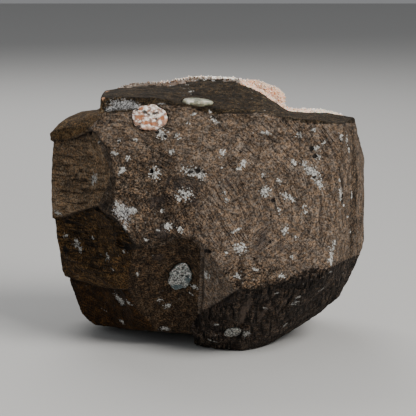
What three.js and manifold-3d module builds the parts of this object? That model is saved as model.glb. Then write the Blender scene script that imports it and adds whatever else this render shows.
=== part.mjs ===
// A heulandite geode: a hewn block of vesicular basalt, with a hollow at its back
// that opens up and backwards.
// A crust of tabular heulandite crystals lines the hollow, and mineral nodules fill the largest gas bubbles.
// Millimetres, +Z up. The block rests on the plane z = 0, -Y is its hewn front and +Y its open back.
import * as THREE from "three";
import { ConvexGeometry } from "three/addons/geometries/ConvexGeometry.js";
import { mergeVertices } from "three/addons/utils/BufferGeometryUtils.js";
import Module from "manifold-3d";

const wasm = await Module();
wasm.setup();

// The block is the hull of its corners, with two smaller chunks on its top.
const BODY_CORNERS = [
  // top edge of the hewn front, left to right
  [-52, -37, 105], [-47, -34.5, 113.5], [-26, -34, 116.5], [-11, -34.5, 116], [3, -36.5, 112.5],
  [29, -37, 112.5], [39, -38, 110], [61.5, -39, 109],
  // left and right parts of the front
  [-48.5, -46, 75], [-39.5, -49, 65.5], [-31.5, -52.5, 55], [51.5, -47.5, 80],
  [67.5, -20, 109.5], [69, -22, 99], [70.5, -24, 81], [72, -25, 69], [72, -25, 52],
  // lower edge of the front, left to right
  [2, -54.5, 51], [8.5, -57.5, 42.5], [12.5, -59.5, 36.5], [24, -59.5, 38], [36.5, -58, 43],
  [47.5, -57.5, 46.5], [54, -57.5, 46.5], [71, -25, 48],
  // undercut right and left ends
  [66.5, -18, 34], [63, -15, 26], [59, -12, 20.5], [52.5, -8, 14], [44, -4, 7],
  [-70, 4, 32.5], [-66, 6, 22], [-61, 8, 8], [-57, -2, 6], [-42, -12, 7], [-25, -20, 7.5], [-7, -28, 8.5],
  // left shoulder and left side
  [-74, -8, 100.5], [-70.5, -6, 104.5], [-66.5, -4, 107.5], [-60, -3, 110.5], [-54.5, -4, 111],
  [-74, -2, 74], [-74, -2, 62], [-72, 0, 50],
  // the small flat spot that it rests on
  [-12, 0, 0], [-5.5, -6, 0], [-1.5, -12, 0], [6.5, -21, 0], [15, -25, 0], [20, -23, 0], [25.5, -17.5, 0],
  [36, 13, 0], [42, 38, 0], [18, 48, 0], [-36, 47, 0], [-50, 28, 0],
  // back and both sides
  [46, 13, 109.5], [56, 14, 107.5], [66, 16, 105], [75, 12, 86], [75, 30, 58], [69, 44, 30], [52, 56, 12],
  [50, 61, 42], [12, 61, 20], [0, 61, 50], [-44, 60, 14], [-50, 61, 45], [-68, 44, 20], [-75, 34, 60],
  [-54.5, 12, 108], [-62, 14, 105.5], [-70, 18, 98],
];
const LEFT_RIDGE_CORNERS = [
  [-49.5, -31, 110], [-49, -27, 119.5], [-49.5, 20, 119.5], [-49.5, 20, 100],
  [-26, -33, 110], [-26, -31, 120],
  [-11, -34, 110], [-11, -33.5, 118], [-20, 20, 121.5], [-14, 20, 124.5], [-10, 20, 100],
];
const MOUND_CORNERS = [
  [-26, -33.5, 117.5], [-12, -35, 117.5], [3, -38, 113], [17, -38.4, 113], [29, -37.8, 112.5],
  [39, -38.3, 110.5], [3, -35, 108], [39, -36, 106], [-26, -30, 105],
  [-20, 4.5, 122], [-14, 4, 124.3], [-1.5, 2, 126], [10.5, 2, 125.5], [19, 3, 122.8], [24, 6, 118.3],
  [38, 11, 111], [-20, 20, 119], [0, 20, 125], [19, 20, 121], [38, 20, 109], [-20, 20, 100], [38, 20, 100],
];

// The block broke open at its back along one sloping joint.
// A wedge fell out of the lower part of its front, and a slab from under its left half.
const BACK_JOINT = { through: [0, 2, 126], outward: [0, 0.836, 0.549] };
const WEDGE_CORNERS = [
  [-32.2, -59.2, 64.5], [-23.1, -10.2, -6.7], [-10.6, -57.8, 70], [-13.6, -14.3, -8.7],
  [-3.3, -57, 67], [-5.4, -23.3, -2], [-65, -60, 60], [-62, -10, -8],
  [47, -112, 72], [45, -78, 3], [-63, -112, 72], [-65, -100, 0],
];
const SLAB_CORNERS = [
  [-85, -60, 17], [-5, -60, 14], [-6.5, -28, 8.5], [-8, 35, -2.4], [-85, 60, -3.6],
  [-85, -60, -10], [-5, -60, -10], [-8, 35, -10], [-85, 60, -10],
];

// Chips knocked off the block. Each is a scallop: where it bites, the way it faces, its radius,
// how deep it bites and how many times wider than tall it is.
const CHIPS = [
  { at: [-58, -25, 83], outward: [-0.79, -0.61, 0.04], radius: 34, depth: 6, widen: 1.5 },
  { at: [-56, -26, 52], outward: [-0.84, -0.53, -0.1], radius: 34, depth: 6.5, widen: 1.6 },
  { at: [-50, -18, 22], outward: [-0.67, -0.45, -0.59], radius: 40, depth: 7, widen: 1.4 },
  { at: [75, 24, 66], outward: [0.96, 0.25, 0.1], radius: 46, depth: 4, widen: 1.2 },
  { at: [62, 46, 24], outward: [0.66, 0.6, -0.4], radius: 44, depth: 5, widen: 1.3 },
  { at: [-74, 26, 50], outward: [-0.94, 0.3, -0.1], radius: 44, depth: 4.5, widen: 1.2 },
  { at: [-20, 61, 26], outward: [-0.1, 0.96, -0.2], radius: 40, depth: 4.5, widen: 1.6 },
];
const CHIP_FACETS = [32, 22];

// The hollow is a lumpy rounded box that the joint cuts open.
// Its radii are across, up the joint and into the block.
const HOLLOW = { centre: [5, 28, 83], radii: [61, 50, 42], boxiness: 3.2, detail: 5, lumps: 0.04 };
const FIT_GAP = 0.3;
const CRUST = { thickness: 3.6, unevenness: 0.35, proud: 1.2, crystalsProud: 0.2 };

// Crystals have piled up over the lip of the hollow in one place.
const LIP_PILE_CORNERS = [
  [18.5, 3.2, 124.6], [22.5, 4.2, 124.4], [26, 5.5, 123.2], [30, 7, 121.4], [33.5, 8.5, 120],
  [36.5, 11, 117], [37, 14, 113], [17, 5, 120], [20, 9, 118], [30, 13, 114], [35, 16, 109], [36, 12, 109],
];

// Heulandite grows as coffin-shaped plates: the outline is a share of the crystal's length.
const PLATE_OUTLINE = [[-0.2, -0.5], [0.2, -0.5], [0.36, 0.12], [0.15, 0.5], [-0.15, 0.5], [-0.36, 0.12]];
const PLATE_THICKNESS = 0.17;
const PLATE_SUNK = 0.3;
const CRYSTALS = { count: 115, length: { least: 15, most: 26 }, tip: 1.5, depth: 2.2, seed: 7 };

// Nodules that fill old gas bubbles, each half sunk in the rock.
const TO_THE_BACK = [0, 1, 0];
const DOWN = [0, 0, -1];
const NODULES = [
  { name: "pink_nodule", from: [-26.3, -100, 111.4], towards: TO_THE_BACK, radii: [7.9, 5, 6.1], turn: 0 },
  { name: "green_nodule", from: [-4.6, -31.4, 180], towards: DOWN, radii: [7, 3.4, 2.4], turn: 0 },
  { name: "white_nodule", from: [-12.7, -100, 38.4], towards: TO_THE_BACK, radii: [4.7, 9, 8.2], turn: 20 },
  { name: "pale_nodule", from: [11.3, -100, 11.9], towards: TO_THE_BACK, radii: [4.5, 4.4, 2.6], turn: -38 },
];
const NODULE_PROUD = 0.6;
const NODULE_FACETS = [12, 8];

// Open gas bubbles on the front, as [x, z, radius].
const FRONT_BUBBLES = [
  [-25.5, 88, 1.6], [-22, 83.5, 1.1], [-7, 88, 1.4], [-3.5, 87.5, 1.5], [51, 97, 1], [53, 94, 1.2],
  [60, 75.5, 1.5], [14.5, 101, 0.9], [30, 76, 1.1], [0, 54, 1.9], [-40.5, 55, 2.2], [16, 16, 2.2],
  [22, 98, 1.2], [35, 101, 1.3],
];
const OTHER_BUBBLES = {
  count: 14,
  radius: { least: 1, most: 2.2 },
  height: { least: 10, most: 100 },
  clearOfHollow: 9,
  seed: 21,
};
const FRONT_HALF = { width: 60, behind: -20 };
const FAR_AWAY = 140;
const BUBBLE_FACETS = [6, 4];

const COLOURS = {
  basalt_matrix: 0x4a4039,
  heulandite_crust: 0xe0a58c,
  pink_nodule: 0xe2c2b4,
  green_nodule: 0xb9bfa8,
  white_nodule: 0xc9ccc8,
  pale_nodule: 0xb9b5aa,
};

// A small seeded generator, so that every build is the same.
function seeded(seed) {
  let state = seed;
  return () => {
    state = (state + 0x6d2b79f5) | 0;
    let mixed = Math.imul(state ^ (state >>> 15), 1 | state);
    mixed = (mixed + Math.imul(mixed ^ (mixed >>> 7), 61 | mixed)) ^ mixed;
    return ((mixed ^ (mixed >>> 14)) >>> 0) / 4294967296;
  };
}

const between = (range, share) => range.least + (range.most - range.least) * share;

function solidOf(geometry) {
  const bare = geometry.clone();
  bare.deleteAttribute("normal");
  bare.deleteAttribute("uv");
  const merged = mergeVertices(bare, 1e-4);
  return new wasm.Manifold(
    new wasm.Mesh({
      numProp: 3,
      vertProperties: merged.attributes.position.array,
      triVerts: new Uint32Array(merged.index.array),
    }),
  );
}

function geometryOf(solid) {
  const mesh = solid.getMesh();
  const geometry = new THREE.BufferGeometry()
    .setAttribute("position", new THREE.BufferAttribute(new Float32Array(mesh.vertProperties), 3))
    .setIndex(new THREE.BufferAttribute(new Uint32Array(mesh.triVerts), 1));
  geometry.computeVertexNormals();
  return geometry;
}

const hullOf = (corners) =>
  solidOf(new ConvexGeometry(corners.map((corner) => new THREE.Vector3(...corner))));

const sphereOf = (centre, radius, [round, tall]) =>
  solidOf(new THREE.SphereGeometry(radius, round, tall).translate(...centre));

// The hollow's own axes: X across, Y up the joint, Z out through it.
const HOLLOW_TURN = new THREE.Quaternion().setFromUnitVectors(
  new THREE.Vector3(0, 0, 1),
  new THREE.Vector3(...BACK_JOINT.outward).normalize(),
);

// How far the hollow's wall is from its centre in a direction, as a share of the plain rounded box.
function lumpiness({ x, y, z }) {
  const broad = Math.sin(4.3 * x + 2.1 * z) * Math.cos(3.7 * y - 1.3 * x);
  const fine = Math.sin(7.1 * z - 5.2 * x + 3.3 * y);
  return 1 + HOLLOW.lumps * (broad + 0.6 * fine);
}

// The point on the hollow's wall in a direction of its own axes, with the wall moved inwards.
function wallPoint(direction, inset) {
  const unit = direction.clone().normalize();
  const shareOf = (along, axis) => Math.abs(along / HOLLOW.radii[axis]) ** HOLLOW.boxiness;
  const shares = unit.toArray().map(shareOf);
  const plain = (shares[0] + shares[1] + shares[2]) ** (-1 / HOLLOW.boxiness);
  return unit
    .multiplyScalar(plain * lumpiness(direction) - inset)
    .applyQuaternion(HOLLOW_TURN)
    .add(new THREE.Vector3(...HOLLOW.centre));
}

// The hollow as a solid, its wall moved inwards by what insetAt gives for each direction.
function hollowSolid(insetAt) {
  const geometry = new THREE.IcosahedronGeometry(1, HOLLOW.detail);
  const place = geometry.getAttribute("position");
  for (let i = 0; i < place.count; i++) {
    const direction = new THREE.Vector3().fromBufferAttribute(place, i);
    place.setXYZ(i, ...wallPoint(direction, insetAt(direction)));
  }
  return solidOf(geometry);
}

function chipSolid({ at, outward, radius, depth, widen }) {
  const out = new THREE.Vector3(...outward).normalize();
  const turn = new THREE.Matrix4().lookAt(out, new THREE.Vector3(), new THREE.Vector3(0, 0, 1));
  const centre = out.clone().multiplyScalar(radius - depth).add(new THREE.Vector3(...at));
  const geometry = new THREE.SphereGeometry(radius, ...CHIP_FACETS)
    .scale(widen, 1, 1)
    .applyMatrix4(turn)
    .translate(...centre);
  return solidOf(geometry);
}

const JOINT_SHARES = BACK_JOINT.outward.map((share, axis) => share * BACK_JOINT.through[axis]);
const JOINT_OFFSET = JOINT_SHARES.reduce((sum, share) => sum + share, 0);

// The part of a solid that is inside the joint.
const insideJoint = (solid) => solid.trimByPlane(BACK_JOINT.outward.map((share) => -share), -JOINT_OFFSET);

// The part of a solid that is outside the joint by at least a gap.
const beyondJoint = (solid, gap) => solid.trimByPlane(BACK_JOINT.outward, JOINT_OFFSET + gap);

// The hewn block, before the hollow, the nodules and the bubbles are taken out of it.
function hewnBlock() {
  let block = hullOf(BODY_CORNERS).add(hullOf(LEFT_RIDGE_CORNERS)).add(hullOf(MOUND_CORNERS));
  block = insideJoint(block).subtract(hullOf(WEDGE_CORNERS)).subtract(hullOf(SLAB_CORNERS));
  for (const chip of CHIPS) block = block.subtract(chipSolid(chip));
  return block;
}

// Where a straight line from outside first meets the block.
function surfacePoint(blockMesh, from, towards) {
  const caster = new THREE.Raycaster(new THREE.Vector3(...from), new THREE.Vector3(...towards).normalize());
  return caster.intersectObject(blockMesh)[0].point;
}

function noduleSolid(nodule, centre, grow) {
  const [a, b, c] = nodule.radii;
  const geometry = new THREE.SphereGeometry(1, ...NODULE_FACETS)
    .scale(a + grow, b + grow, c + grow)
    .rotateY(THREE.MathUtils.degToRad(nodule.turn))
    .translate(...centre);
  return solidOf(geometry);
}

// One coffin-shaped plate that stands along +Y, with its narrow end sunk below the origin.
function plate(length) {
  const outline = PLATE_OUTLINE.map(
    ([x, y]) => new THREE.Vector2(x * length, (y + 0.5 - PLATE_SUNK) * length));
  const thickness = PLATE_THICKNESS * length;
  const shape = new THREE.Shape(outline);
  const prism = new THREE.ExtrudeGeometry(shape, { depth: thickness, bevelEnabled: false });
  return prism.translate(0, 0, -thickness / 2);
}

// The crust's crystals, spread evenly over the wall of the hollow and tipped a little at random.
function crystals(reach) {
  const random = seeded(CRYSTALS.seed);
  const solids = [];
  const golden = Math.PI * (3 - Math.sqrt(5));
  for (let i = 0; i < CRYSTALS.count; i++) {
    const up = 1 - (2 * (i + 0.5)) / CRYSTALS.count;
    const around = golden * i;
    const ring = Math.sqrt(1 - up * up);
    const direction = new THREE.Vector3(ring * Math.cos(around), ring * Math.sin(around), up);
    const length = between(CRYSTALS.length, random() ** 1.6);
    const tip = new THREE.Vector3(random() - 0.5, random() - 0.5, random() - 0.5);
    tip.multiplyScalar(CRYSTALS.tip);
    const spin = random() * Math.PI;
    const root = wallPoint(direction, CRYSTALS.depth);
    const inwards = new THREE.Vector3(...HOLLOW.centre).sub(root).normalize().add(tip).normalize();
    const turn = new THREE.Quaternion()
      .setFromUnitVectors(new THREE.Vector3(0, 1, 0), inwards)
      .multiply(new THREE.Quaternion().setFromAxisAngle(new THREE.Vector3(0, 1, 0), spin));
    const foot = sphereOf(root.toArray(), 1, BUBBLE_FACETS);
    if (foot.intersect(reach).isEmpty()) continue;
    solids.push(solidOf(plate(length).applyQuaternion(turn).translate(...root)));
  }
  return solids;
}

// The block moved out through its open back by a distance.
const movedOut = (block, distance) => block.translate(BACK_JOINT.outward.map((share) => share * distance));

function crustSolid(block) {
  const outer = hollowSolid(() => FIT_GAP);
  const inner = hollowSolid(({ x, y, z }) => {
    const waves = Math.sin(23 * x + 17 * y) * Math.cos(19 * z - 11 * x);
    return CRUST.thickness * (1 + CRUST.unevenness * waves);
  });
  const shell = outer.subtract(inner).intersect(movedOut(block, CRUST.proud));
  const reach = outer.intersect(movedOut(block, CRUST.crystalsProud));
  let crust = shell;
  for (const crystal of crystals(reach)) crust = crust.add(crystal.intersect(reach));
  const pile = beyondJoint(hullOf(LIP_PILE_CORNERS), FIT_GAP);
  const bodies = crust.add(pile).decompose();
  return bodies.sort((a, b) => b.volume() - a.volume())[0];
}

// Open bubbles: the front ones where they show, and the rest at random over the sides and the back.
function bubbleSolids(blockMesh) {
  const { count, radius, height, clearOfHollow, seed } = OTHER_BUBBLES;
  const random = seeded(seed);
  const hollow = hollowSolid(() => 0);
  const bubbles = FRONT_BUBBLES.map(([x, z, size]) => {
    return { centre: surfacePoint(blockMesh, [x, -FAR_AWAY, z], TO_THE_BACK), size };
  });
  while (bubbles.length < FRONT_BUBBLES.length + count) {
    const around = 2 * Math.PI * random();
    const from = [FAR_AWAY * Math.cos(around), FAR_AWAY * Math.sin(around), between(height, random())];
    const centre = surfacePoint(blockMesh, from, [-from[0], -from[1], 0]);
    const nearby = sphereOf(centre.toArray(), clearOfHollow, BUBBLE_FACETS);
    const onFront = centre.y < FRONT_HALF.behind && Math.abs(centre.x) < FRONT_HALF.width;
    if (onFront || !nearby.intersect(hollow).isEmpty()) continue;
    bubbles.push({ centre, size: between(radius, random()) });
  }
  return bubbles.map(({ centre, size }) => sphereOf(centre.toArray(), size, BUBBLE_FACETS));
}

function named(name, solid, roughness) {
  const material = new THREE.MeshStandardMaterial({ color: COLOURS[name], roughness, metalness: 0 });
  material.flatShading = true;
  const mesh = new THREE.Mesh(geometryOf(solid), material);
  mesh.name = name;
  return mesh;
}

const group = new THREE.Group();
const block = hewnBlock();
const blockMesh = new THREE.Mesh(geometryOf(block));
let matrix = block.subtract(hollowSolid(() => 0));
for (const bubble of bubbleSolids(blockMesh)) matrix = matrix.subtract(bubble);
for (const nodule of NODULES) {
  const centre = surfacePoint(blockMesh, nodule.from, nodule.towards).toArray();
  matrix = matrix.subtract(noduleSolid(nodule, centre, FIT_GAP));
  const raised = block.translate(nodule.towards.map((share) => -share * NODULE_PROUD));
  group.add(named(nodule.name, noduleSolid(nodule, centre, 0).intersect(raised), 0.6));
}
group.add(named("basalt_matrix", matrix, 0.95));
group.add(named("heulandite_crust", crustSolid(block), 0.35));

export default group;
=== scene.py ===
# A heulandite geode: a hewn block of vesicular basalt whose back opens onto a hollow lined with crystals.
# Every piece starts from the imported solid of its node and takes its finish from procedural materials.
# Metres throughout, +Z up, and -Y is the hewn front.
import math

import bmesh
import bpy
import numpy as np
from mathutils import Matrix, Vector
from mathutils.bvhtree import BVHTree


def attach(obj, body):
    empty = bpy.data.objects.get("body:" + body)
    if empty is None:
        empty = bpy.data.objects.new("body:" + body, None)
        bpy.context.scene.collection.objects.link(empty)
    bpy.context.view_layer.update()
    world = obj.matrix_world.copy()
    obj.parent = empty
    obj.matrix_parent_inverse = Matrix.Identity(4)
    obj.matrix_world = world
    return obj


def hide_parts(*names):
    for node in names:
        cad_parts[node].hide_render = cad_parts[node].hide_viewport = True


MM = 0.001

# The camera stands low in front of the block. PIXEL_AT_AIM is how much rock one pixel of the picture shows
# at the point that it aims at.
CAMERA_DISTANCE = 800 * MM
CAMERA_ELEVATION = math.radians(10)
CAMERA_AIM = Vector((0, 0, 63.6 * MM))
PICTURE_SIDE = 416
PIXEL_AT_AIM = 0.476 * MM
RIGHTWARD = Vector((1, 0, 0))
FORWARD = Vector((0, math.cos(CAMERA_ELEVATION), -math.sin(CAMERA_ELEVATION)))
UPWARD = Vector((0, math.sin(CAMERA_ELEVATION), math.cos(CAMERA_ELEVATION)))
EYE = CAMERA_AIM - FORWARD * CAMERA_DISTANCE

# The joint that the back broke along.
JOINT_OUTWARD = Vector((0, 0.836, 0.549)).normalized()
JOINT_THROUGH = Vector((0, 2, 126)) * MM
# Rock further back than this takes the plain finish of the other sides.
FRONT_ENDS = 34 * MM

# Rock mesh: how fine it is. Its wall counts as hidden where the crust lies this near and faces it, and this
# share of the hidden wall's faces is kept.
ROCK_GRID = 0.88 * MM
HIDDEN_WALL_GAP = 0.9 * MM
HIDDEN_WALL_FACING = -0.5
HIDDEN_WALL_KEPT = 0.12
# How far each kind of mark raises or sinks the hewn rock, in millimetres.
ROUGHNESS = {
    "Lump": 0.55, "Knob": 0.3, "Grain": 0.16, "Rake": 0.2, "Socket": 1.0, "Groove": 0.7, "Fill": 0.12,
}
# How many lumps, knobs and grains there are to the metre.
BUMPS_PER_METRE = {"Lump": 45, "Knob": 180, "Grain": 700}
# Rake marks to the metre, across and along them: those cut into the rock, and the finer ones of its colour.
CUT_MARKS = (650, 60, 0)
COLOURED_MARKS = (760, 95, 0)
# Nodule mesh: how fine it is, how far it is grown to fill its socket, how deep its cracks are, and how long
# its blades are.
NODULE_GRID = 0.35 * MM
NODULE_GROWTH = 0.3 * MM
NODULE_CRACK = 0.5 * MM
NODULE_BLADE = 1.1 * MM

# White mineral fills of the front, by place in the picture: across, down, width, height, tilt in degrees.
WHITE_FILLS = [
    (162, 134, 12, 10, 20), (154, 173, 14, 11, 60), (192, 170, 20, 8, 8), (201, 175, 10, 7, 20),
    (184, 195, 17, 12, -20), (120, 209, 9, 7, -35), (133, 210, 9, 5, 10), (124, 228, 6, 5, -20),
    (117, 203, 6, 4, 0), (171, 152, 6, 6, 0), (122, 171, 9, 6, -60), (94, 179, 13, 9, -70),
    (98, 143, 5, 4, 0), (119, 141, 4, 5, 0), (135, 140, 6, 5, 0), (178, 136, 6, 6, 0),
    (114, 153, 8, 5, 20), (128, 158, 5, 5, 0), (216, 121, 12, 5, 45), (210, 112, 5, 4, 0),
    (194, 114, 9, 4, -20), (188, 123, 5, 3, 0), (222, 153, 7, 8, 30), (244, 163, 9, 8, -45),
    (239, 169, 6, 4, 0), (222, 168, 4, 3, 0), (264, 175, 6, 5, 20), (279, 181, 5, 6, 0),
    (265, 133, 12, 4, 5), (265, 191, 10, 12, 30), (288, 197, 16, 6, 28), (226, 198, 13, 4, 75),
    (235, 231, 13, 3, -30), (240, 248, 13, 11, 10), (226, 253, 5, 4, 0), (237, 276, 6, 7, 0),
    (256, 270, 7, 5, 30), (282, 276, 7, 4, 0), (292, 257, 5, 5, 0), (285, 231, 10, 6, -70),
    (295, 237, 5, 4, 40), (305, 209, 8, 5, 70), (279, 210, 9, 3, 80), (312, 172, 22, 10, 48),
    (319, 183, 14, 7, 62), (304, 164, 7, 7, 0), (316, 148, 9, 6, 20), (318, 156, 8, 6, 40),
    (325, 142, 7, 3, -50), (294, 162, 9, 5, 80), (299, 134, 7, 6, 0), (314, 130, 5, 4, 0),
    (347, 139, 12, 6, 80), (341, 137, 7, 4, 80), (349, 150, 6, 4, 80), (341, 195, 14, 7, 85),
    (344, 206, 4, 6, 0), (340, 180, 6, 3, 60), (352, 196, 9, 3, 80), (335, 242, 7, 5, 80),
    (332, 256, 14, 5, 85), (348, 217, 6, 3, -40), (350, 232, 6, 4, 80), (333, 250, 24, 4, 94),
    (331, 262, 9, 5, 80), (76, 243, 9, 9, 40), (80, 249, 7, 5, 60), (58, 213, 10, 5, 15),
    (65, 236, 6, 5, 0), (92, 238, 5, 4, 0), (107, 257, 8, 8, 0), (113, 270, 7, 4, 10),
    (123, 252, 5, 4, 0), (118, 300, 14, 12, 45), (128, 303, 8, 5, 20), (122, 322, 9, 4, 30),
    (138, 274, 7, 4, 80), (206, 275, 10, 10, 60), (194, 287, 9, 5, 20), (191, 294, 6, 3, 40),
    (168, 306, 9, 6, -20), (165, 329, 10, 6, 0), (160, 300, 6, 5, 0), (168, 226, 9, 8, 0),
    (180, 230, 7, 6, 30), (157, 230, 5, 4, 0), (146, 240, 5, 4, 0), (162, 211, 5, 4, 0),
    (294, 303, 9, 8, 0), (298, 297, 6, 5, -30), (322, 289, 10, 3, -35), (246, 334, 11, 8, 70),
    (216, 324, 5, 5, 0), (212, 340, 10, 3, 15), (284, 325, 6, 6, 0), (265, 308, 7, 3, 20),
    (330, 272, 6, 3, -40), (277, 293, 5, 4, 0), (192, 91, 6, 5, 0), (186, 85, 5, 3, 0),
]

# Dark stains and open sockets on the front, given the same way. Most stains are the rock's own dark
# patches, but the wide one under the left shoulder is a painted shadow.
DARK_STAINS_AND_SHADOWS = [
    (181, 186, 34, 20, 12), (157, 200, 16, 22, 50), (163, 231, 20, 14, 0), (104, 205, 13, 10, 30),
    (262, 238, 44, 12, -72), (228, 182, 18, 8, 70), (221, 128, 12, 4, 45), (272, 139, 18, 3, 36),
    (345, 124, 14, 9, 60), (328, 150, 40, 3, 65), (341, 180, 46, 3, 74), (321, 225, 60, 4, 88),
    (159, 257, 14, 12, 0), (283, 247, 12, 14, 0), (330, 208, 24, 4, 85), (292, 145, 10, 4, 50),
    (80, 137, 34, 9, -14), (104, 208, 12, 12, 40), (66, 184, 12, 9, 0), (273, 200, 6, 6, 0),
    (66, 221, 14, 8, 10), (298, 205, 8, 6, 0), (230, 300, 20, 9, -38), (258, 296, 30, 10, 0),
    (300, 282, 34, 9, -14), (197, 205, 12, 30, -30),
]
# Sockets: painted shade in open pits, and along the ledges the painted shadow under them.
SHADED_SOCKETS = [
    (157, 132, 5, 3, -20), (165, 136, 5, 3, 40), (158, 182, 4, 4, 0), (152, 172, 4, 6, 0),
    (151, 177, 4, 3, 0), (190, 172, 6, 4, 0), (198, 171, 5, 6, 0), (204, 172, 3, 3, 0),
    (312, 148, 5, 5, 0), (315, 156, 5, 5, 0), (343, 196, 4, 4, 0), (343, 202, 4, 4, 0),
    (314, 177, 4, 3, 0), (183, 195, 3, 3, 0), (66, 222, 8, 4, 10), (208, 252, 9, 4, 15),
    (273, 200, 5, 5, 0), (241, 152, 3, 3, 0), (119, 142, 3, 3, 0), (147, 145, 3, 3, 0),
    (311, 150, 3, 3, 0), (316, 156, 4, 3, 0), (343, 203, 3, 4, 0), (239, 336, 17, 6, -60),
    (232, 169, 3, 2, 0), (201, 206, 3, 3, 0), (124, 249, 18, 4, 8), (85, 284, 22, 5, 14),
    (112, 290, 30, 3, 5), (94, 208, 12, 5, -12), (87, 136, 8, 4, 0), (125, 246, 10, 3, 0),
    (64, 250, 8, 9, 0), (117, 296, 6, 4, 60), (293, 303, 3, 3, 0), (270, 242, 3, 3, 0),
    (271, 216, 3, 3, 0), (255, 259, 3, 3, 0), (341, 141, 2, 3, 0),
]
# Creases, cracks and gouges of the front: the line that each follows in the picture, and its width there.
# Their dark colour is painted shade in the creases and cracks, and painted shadow under the left
# shoulder and under the top band's ledge.
GROOVES = [
    ([(47, 137), (57, 142), (75, 139), (89, 133)], 5),
    ([(89, 133), (97, 140), (106, 148), (115, 157)], 3),
    ([(60, 219), (76, 213), (88, 210), (96, 207), (103, 214), (112, 217), (121, 226), (127, 236),
      (133, 247)], 5),
    ([(122, 247), (132, 249), (142, 248)], 6), ([(202, 258), (202, 296), (198, 326)], 3.5),
    ([(60, 276), (72, 280), (85, 284), (95, 287), (110, 290), (128, 291)], 4.5),
    ([(226, 112), (238, 112), (252, 113)], 4), ([(261, 134), (270, 139), (281, 144)], 4),
    ([(212, 116), (218, 123), (224, 131)], 3), ([(327, 138), (332, 149), (337, 161)], 4),
    ([(339, 166), (342, 176), (344, 187)], 3), ([(321, 196), (320, 225), (321, 255)], 3),
    ([(299, 130), (300, 148), (301, 165)], 3), ([(56, 164), (66, 166), (78, 165)], 3),
    ([(55, 174), (65, 176), (76, 175)], 3), ([(68, 179), (76, 180), (86, 181)], 3.5),
    ([(82, 190), (104, 189)], 3), ([(62, 222), (72, 223), (82, 227)], 3.5),
    ([(66, 230), (82, 232), (96, 231)], 3), ([(98, 227), (118, 228)], 3),
    ([(108, 236), (120, 234), (129, 236)], 3), ([(64, 251), (76, 251)], 4),
    ([(70, 262), (98, 266), (124, 264)], 3), ([(200, 313), (222, 301), (238, 291), (262, 291)], 3),
    ([(117, 292), (121, 298), (124, 307)], 3), ([(58, 146), (74, 148), (88, 149)], 2.5),
    ([(56, 156), (70, 158), (84, 157)], 2.5), ([(60, 190), (76, 193), (92, 192)], 2.5),
    ([(58, 201), (72, 204), (86, 202)], 2.5), ([(66, 242), (84, 244), (112, 241)], 2.5),
    ([(70, 256), (92, 258), (116, 255)], 2.5), ([(74, 270), (96, 274), (122, 272)], 2.5),
    ([(238, 330), (235, 344)], 4), ([(170, 176), (164, 190), (158, 208)], 4),
    ([(200, 182), (207, 200)], 3), ([(214, 212), (222, 226), (230, 240)], 3),
    ([(196, 226), (206, 238), (214, 250)], 3),
]
# Ledges of the left scallops: each line across the picture, the drop below it, and the shade under it.
LEDGES = [
    ([(38, 137), (57, 142), (75, 139), (89, 132), (98, 131)], 1.9 * MM, 0.55),
    ([(48, 217), (62, 219), (76, 213), (88, 210), (96, 206), (104, 214), (121, 226), (133, 247)],
     1.0 * MM, 0.6),
    ([(56, 274), (72, 279), (90, 286), (110, 290), (128, 291)], 1.3 * MM, 0.5),
    ([(56, 178), (70, 180), (88, 182)], 0.7 * MM, 0.3),
    ([(60, 228), (84, 233), (100, 229), (128, 235)], 0.8 * MM, 0.35),
]
# How far each ledge is felt above and below its line and from its ends, in pixels of the picture, and how
# far the rock above it stands out, as a share of the drop.
LEDGE_REACH = {"above": 8, "below": 15, "shade": 6, "ends": 4}
LEDGE_LIP = 0.4
# Broad, soft darkening of the main face towards its lower left, along its foot and on its right edge.
MAIN_FACE_DIMMING = [
    (140, 212, 150, 160, 20), (236, 284, 120, 50, -14), (172, 202, 80, 70, 0), (135, 180, 60, 70, 0),
    (354, 195, 18, 210, 0), (150, 215, 70, 80, 10),
]
# The share of the main face's red, green and blue that is lost where it is darkest.
MAIN_FACE_DIMMING_LOSS = (0.59, 0.61, 0.64)
# The bluish druse on the step at the upper left, and the patch of it on the arris of the left hollow.
DRUSE = [
    (124, 105, 34, 14, 6), (112, 108, 18, 8, -10), (136, 107, 18, 9, 12), (160, 103, 12, 3, 0),
    (122, 213, 27, 18, 55), (131, 211, 16, 9, 10), (125, 228, 7, 10, -20),
]
# A last scrap of the pink crust on the step's left end.
ROSY_EDGE = [(107, 91, 12, 5, -20), (103, 97, 5, 9, 0)]
# The tan streak down the undercut, and the paler worn spots by it.
WORN_STREAKS = [
    (243, 313, 7, 46, 0), (249, 303, 5, 26, 0), (283, 304, 4, 34, 2), (264, 312, 4, 34, 0),
    (322, 290, 5, 30, 8),
]
# Fills and sockets on the sides that the picture doesn't show; the sockets' pits are darkened with painted
# shade.
UNSEEN_FILLS = {"count": 260, "least": 0.6 * MM, "most": 2.4 * MM, "seed": 5}
UNSEEN_SOCKETS = {"count": 60, "least": 0.5 * MM, "most": 1.3 * MM, "seed": 6}
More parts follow.
